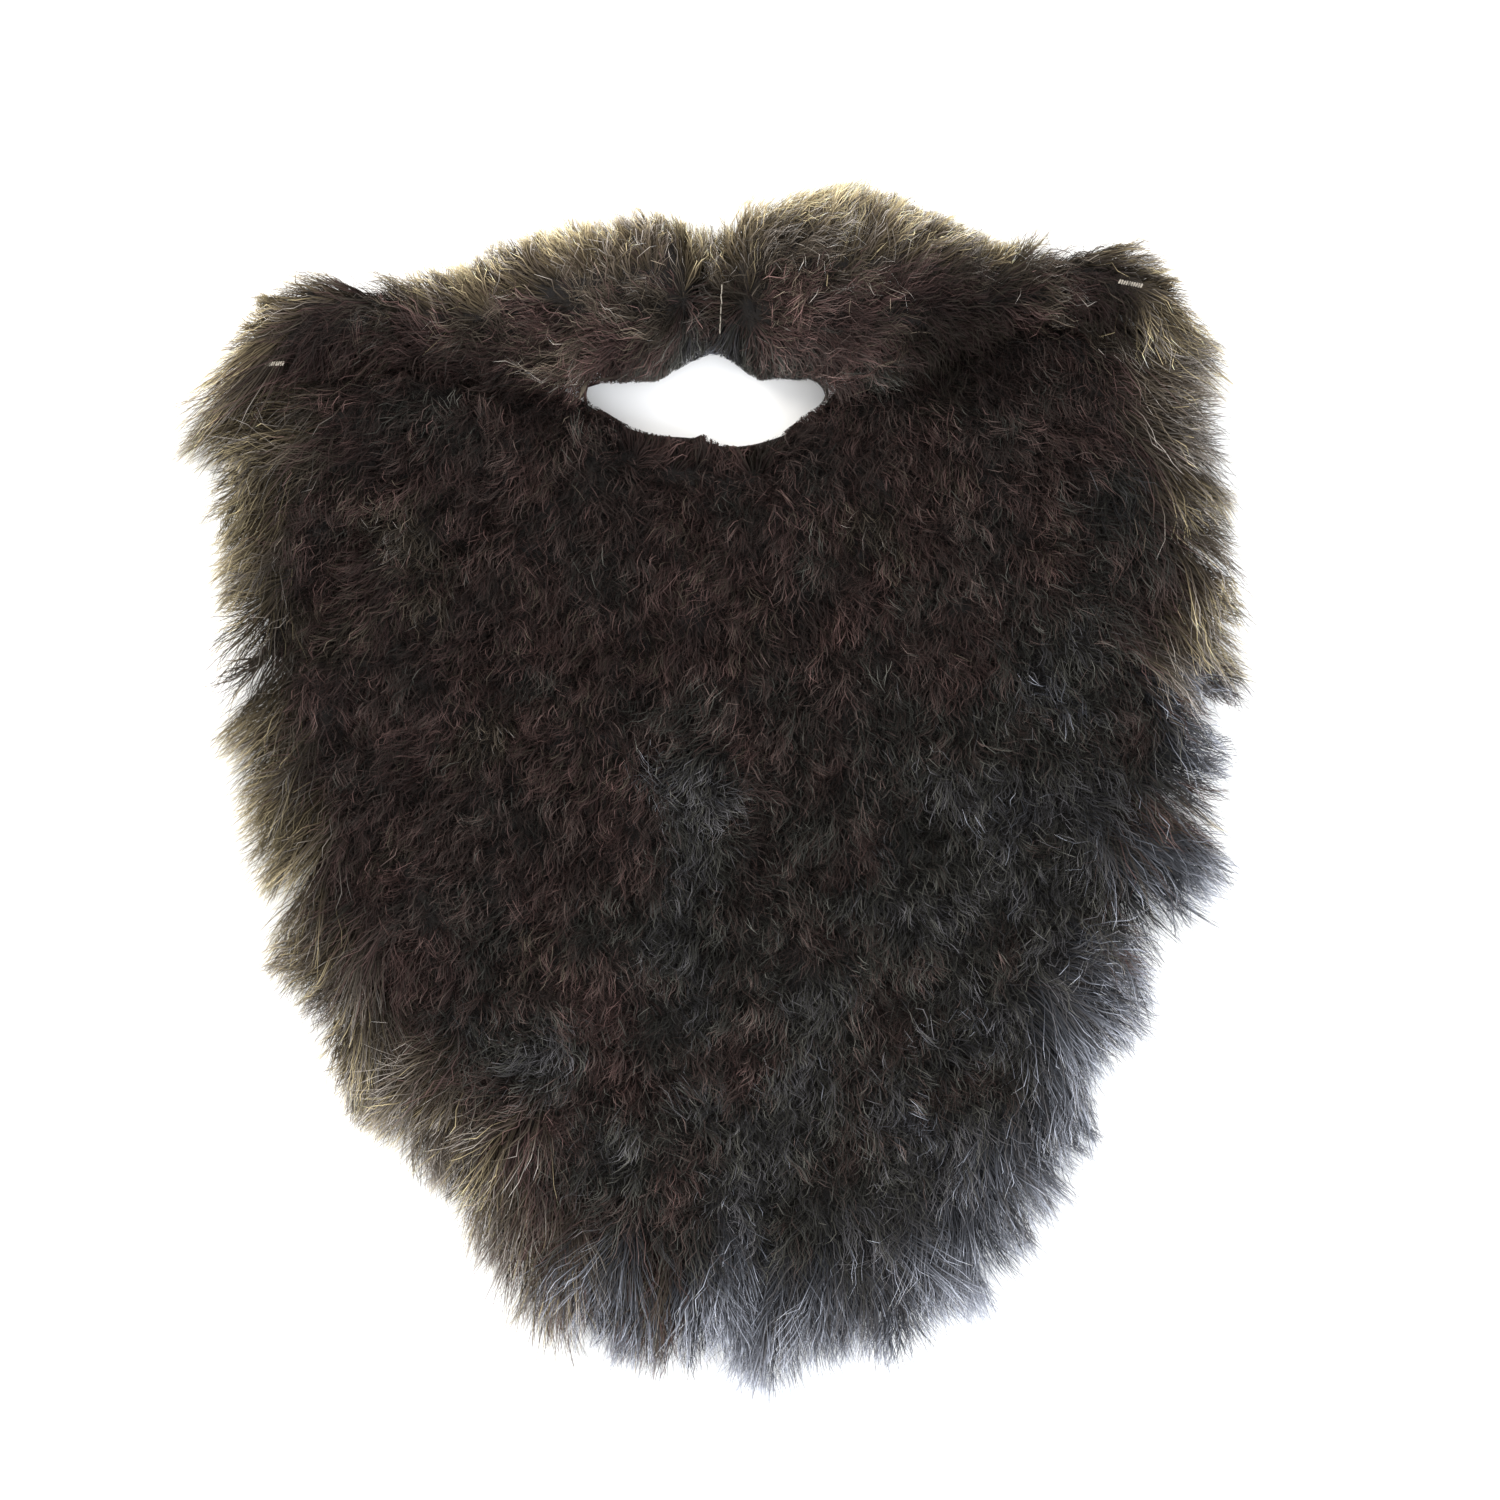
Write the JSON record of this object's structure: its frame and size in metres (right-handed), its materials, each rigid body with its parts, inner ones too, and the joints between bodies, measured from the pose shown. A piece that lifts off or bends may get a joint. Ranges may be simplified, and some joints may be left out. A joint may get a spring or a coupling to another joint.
{
  "type": "false beard with moustache",
  "caption": "Full false beard of dark brown deep-pile fur fabric with a two-lobed moustache, an open mouth and a flat backing, lying fur side up",
  "frame": {"origin": "middle of the footprint on the surface the backing lies on", "axes": "+X to the picture's right, +Y from the chin up to the moustache, +Z out of the pile"},
  "size_m": [0.2738, 0.3047, 0.0376],
  "materials": {
    "beard_fur": "matte dark brown fur pile",
    "moustache_left_fur": "matte grey-brown fur pile",
    "moustache_right_fur": "matte grey-brown fur pile"
  },
  "bodies": {
    "root": {"beard_panel": "beard_fur", "moustache_left": "moustache_left_fur", "moustache_right": "moustache_right_fur"}
  },
  "joints": []
}
